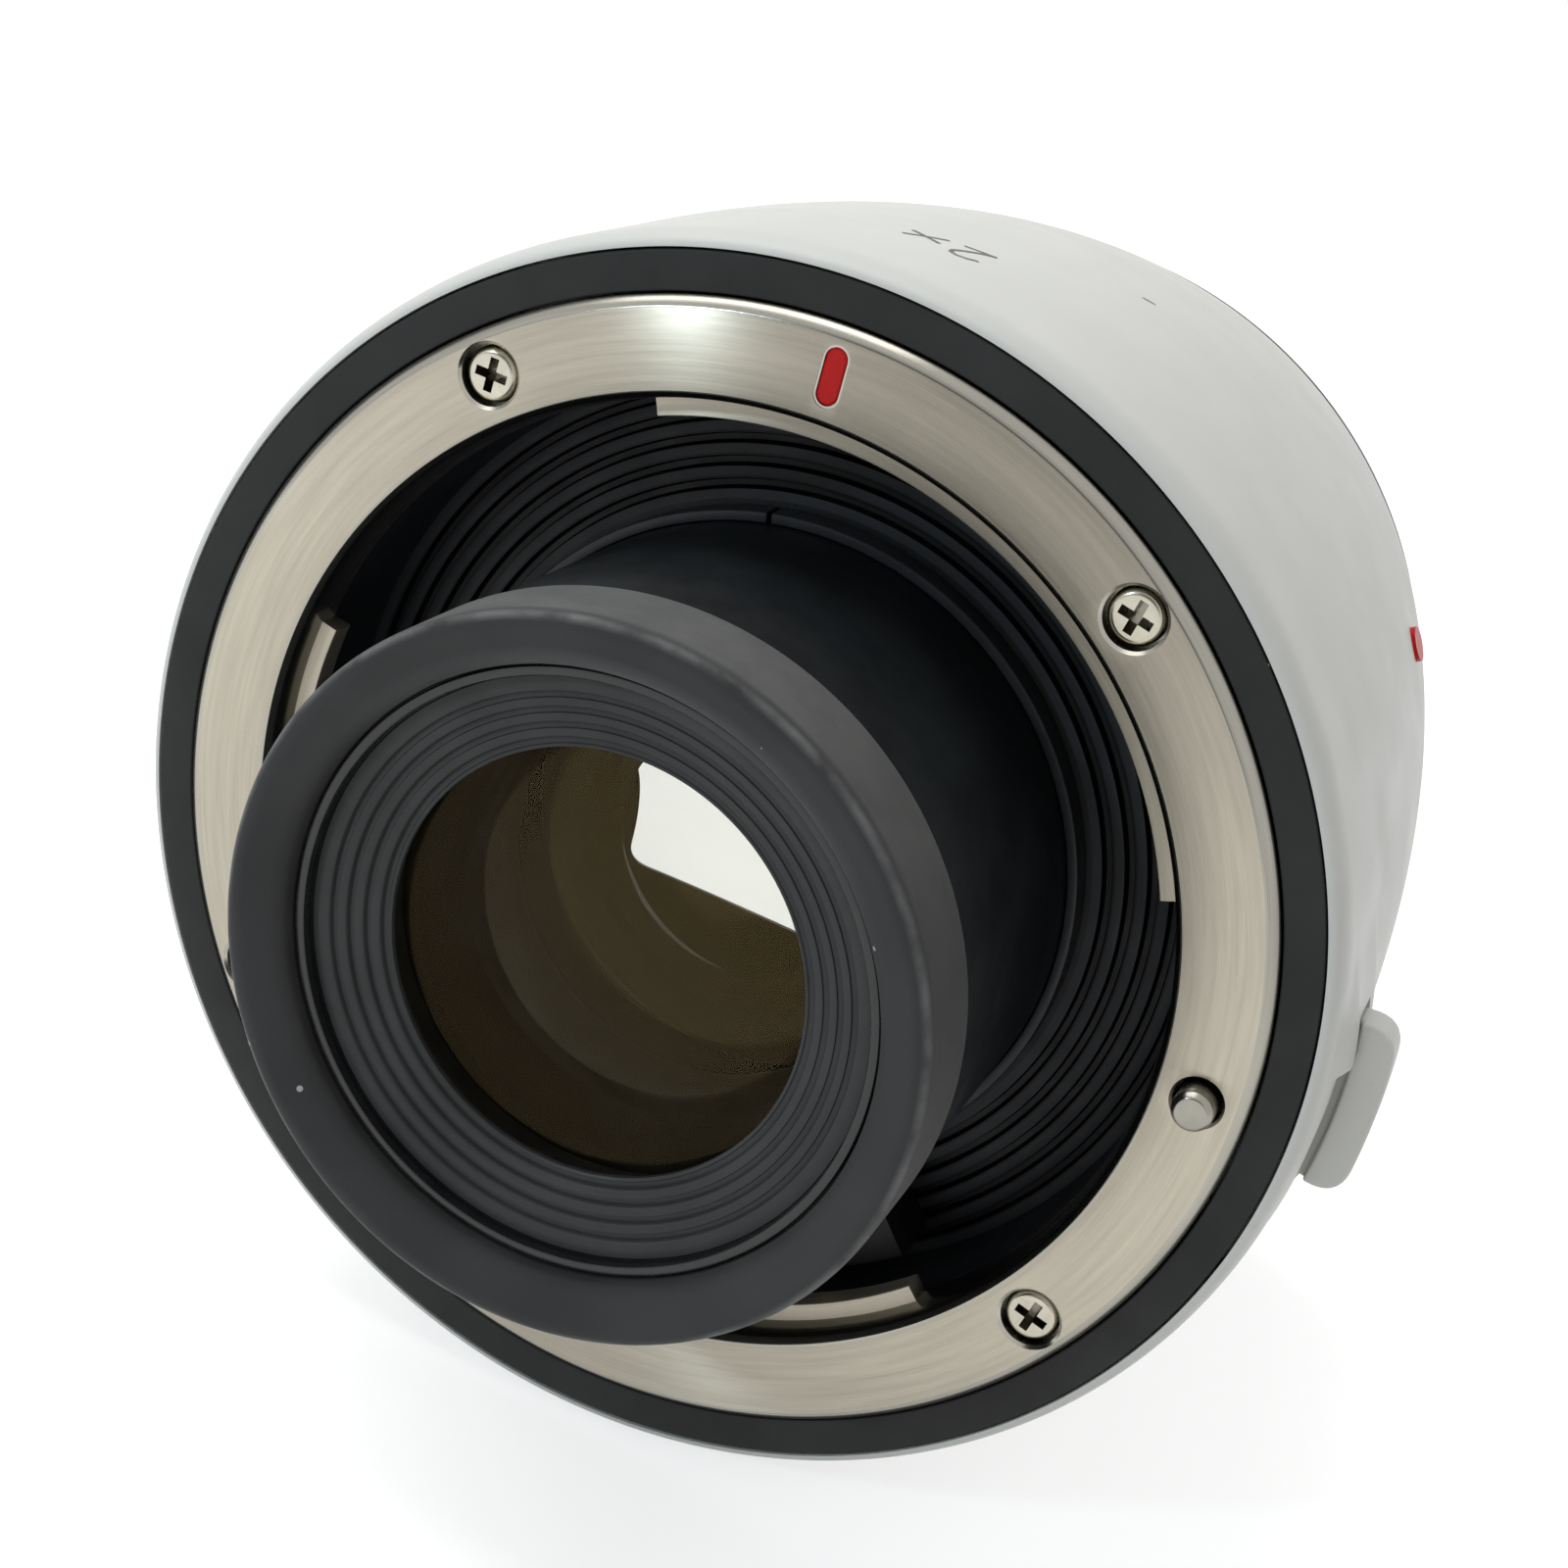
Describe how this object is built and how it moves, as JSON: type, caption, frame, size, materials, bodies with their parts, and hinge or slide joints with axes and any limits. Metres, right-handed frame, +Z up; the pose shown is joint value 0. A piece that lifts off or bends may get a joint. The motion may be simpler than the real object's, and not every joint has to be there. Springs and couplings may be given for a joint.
{
  "type": "two times camera teleconverter with bayonet mounts",
  "caption": "White two times camera teleconverter with a protruding black lens barrel, a steel front bayonet with a sprung lock pin and side release lever, and a male rear bayonet",
  "frame": {"origin": "centre of the rear mount's seating plane, on the optical axis", "axes": "+Y runs along the optical axis towards the camera, -Y towards the front lens, +Z up to the front index mark, +X to the lock pin and release lever"},
  "size_m": [0.0744, 0.0785, 0.0718],
  "materials": {
    "white_paint": "satin",
    "black_paint": "matte",
    "mount_steel": "turned",
    "spring_steel": "satin",
    "bright_steel": "polished",
    "red_enamel": "gloss",
    "guide_brass": "satin",
    "plain_steel": "satin",
    "black_plastic": "matte",
    "grey_ring": "satin",
    "contact_gold": "polished",
    "flex_film": "satin",
    "board_green": "satin",
    "black_anodised": "satin",
    "black_rubber": "matte",
    "coated_glass": "coated"
  },
  "bodies": {
    "housing": {"main_barrel": "white_paint", "front_trim_ring": "black_paint", "front_mount_ring": "mount_steel", "bayonet_leaf_springs": "spring_steel", "front_mount_screws": "bright_steel", "front_index_mark": "red_enamel", "lock_pin_spring": "spring_steel", "lock_pin_guide": "guide_brass", "guide_screws": "bright_steel", "carrier_screws": "bright_steel", "throat_baffle": "black_plastic", "barrel_base_ring": "grey_ring", "front_contact_block": "black_plastic", "contact_springs": "spring_steel", "front_flex": "flex_film", "main_board": "board_green", "board_screws": "bright_steel", "rear_flex": "flex_film", "front_lens_barrel": "black_anodised", "core_screws": "bright_steel", "rubber_bumper": "black_rubber", "front_rim_ring": "black_anodised", "front_retainer": "black_anodised", "lens_1": "coated_glass", "lens_2": "coated_glass", "lens_3": "coated_glass", "lens_4": "coated_glass", "lens_5": "coated_glass", "lens_6": "coated_glass", "lens_7": "coated_glass", "lens_8": "coated_glass", "lens_9": "coated_glass", "spacer_front": "black_anodised", "spacer_middle": "black_anodised", "spacer_rear": "black_anodised", "rear_lens_cell": "black_anodised", "rear_retainer": "black_anodised", "rear_light_baffle": "black_plastic", "rear_mount_ring": "mount_steel", "rear_mount_screws": "bright_steel", "rear_contact_block": "black_plastic", "rear_contacts": "contact_gold", "rear_seal": "black_rubber", "rear_index_mark": "red_enamel"},
    "lever": {"release_lever": "white_paint", "lever_carrier": "plain_steel", "lever_screws": "bright_steel"},
    "lock": {"lock_pin": "bright_steel"},
    "contact_1": {"contact_pin_1": "contact_gold"},
    "contact_2": {"contact_pin_2": "contact_gold"},
    "contact_3": {"contact_pin_3": "contact_gold"},
    "contact_4": {"contact_pin_4": "contact_gold"},
    "contact_5": {"contact_pin_5": "contact_gold"},
    "contact_6": {"contact_pin_6": "contact_gold"},
    "contact_7": {"contact_pin_7": "contact_gold"},
    "contact_8": {"contact_pin_8": "contact_gold"},
    "contact_9": {"contact_pin_9": "contact_gold"},
    "contact_10": {"contact_pin_10": "contact_gold"}
  },
  "joints": [
    {"name": "lever_swing", "type": "hinge", "parent": "housing", "child": "lever", "pos_m": [0, 0, 0], "axis": [0, 1, 0], "range_deg": [0, 4.5], "stiffness_Nm_per_rad": 0.6, "springref_deg": -2.86, "deforming": ["lock_pin_spring"]},
    {"name": "lock_draw", "type": "slide", "parent": "housing", "child": "lock", "axis": [0, 1, 0], "range_m": [0, 0.00201], "deforming": ["lock_pin_spring"]},
    {"name": "contact_press_1", "type": "slide", "parent": "housing", "child": "contact_1", "axis": [0, 1, 0], "range_m": [0, 0.001], "stiffness_N_per_m": 250, "springref_m": -0.0006, "deforming": ["contact_springs"]},
    {"name": "contact_press_2", "type": "slide", "parent": "housing", "child": "contact_2", "axis": [0, 1, 0], "range_m": [0, 0.001], "stiffness_N_per_m": 250, "springref_m": -0.0006, "deforming": ["contact_springs"]},
    {"name": "contact_press_3", "type": "slide", "parent": "housing", "child": "contact_3", "axis": [0, 1, 0], "range_m": [0, 0.001], "stiffness_N_per_m": 250, "springref_m": -0.0006, "deforming": ["contact_springs"]},
    {"name": "contact_press_4", "type": "slide", "parent": "housing", "child": "contact_4", "axis": [0, 1, 0], "range_m": [0, 0.001], "stiffness_N_per_m": 250, "springref_m": -0.0006, "deforming": ["contact_springs"]},
    {"name": "contact_press_5", "type": "slide", "parent": "housing", "child": "contact_5", "axis": [0, 1, 0], "range_m": [0, 0.001], "stiffness_N_per_m": 250, "springref_m": -0.0006, "deforming": ["contact_springs"]},
    {"name": "contact_press_6", "type": "slide", "parent": "housing", "child": "contact_6", "axis": [0, 1, 0], "range_m": [0, 0.001], "stiffness_N_per_m": 250, "springref_m": -0.0006, "deforming": ["contact_springs"]},
    {"name": "contact_press_7", "type": "slide", "parent": "housing", "child": "contact_7", "axis": [0, 1, 0], "range_m": [0, 0.001], "stiffness_N_per_m": 250, "springref_m": -0.0006, "deforming": ["contact_springs"]},
    {"name": "contact_press_8", "type": "slide", "parent": "housing", "child": "contact_8", "axis": [0, 1, 0], "range_m": [0, 0.001], "stiffness_N_per_m": 250, "springref_m": -0.0006, "deforming": ["contact_springs"]},
    {"name": "contact_press_9", "type": "slide", "parent": "housing", "child": "contact_9", "axis": [0, 1, 0], "range_m": [0, 0.001], "stiffness_N_per_m": 250, "springref_m": -0.0006, "deforming": ["contact_springs"]},
    {"name": "contact_press_10", "type": "slide", "parent": "housing", "child": "contact_10", "axis": [0, 1, 0], "range_m": [0, 0.001], "stiffness_N_per_m": 250, "springref_m": -0.0006, "deforming": ["contact_springs"]}
  ],
  "couplings": [
    {"joint": "lock_draw", "follows": "lever_swing", "m_per_rad": 0.025465}
  ]
}
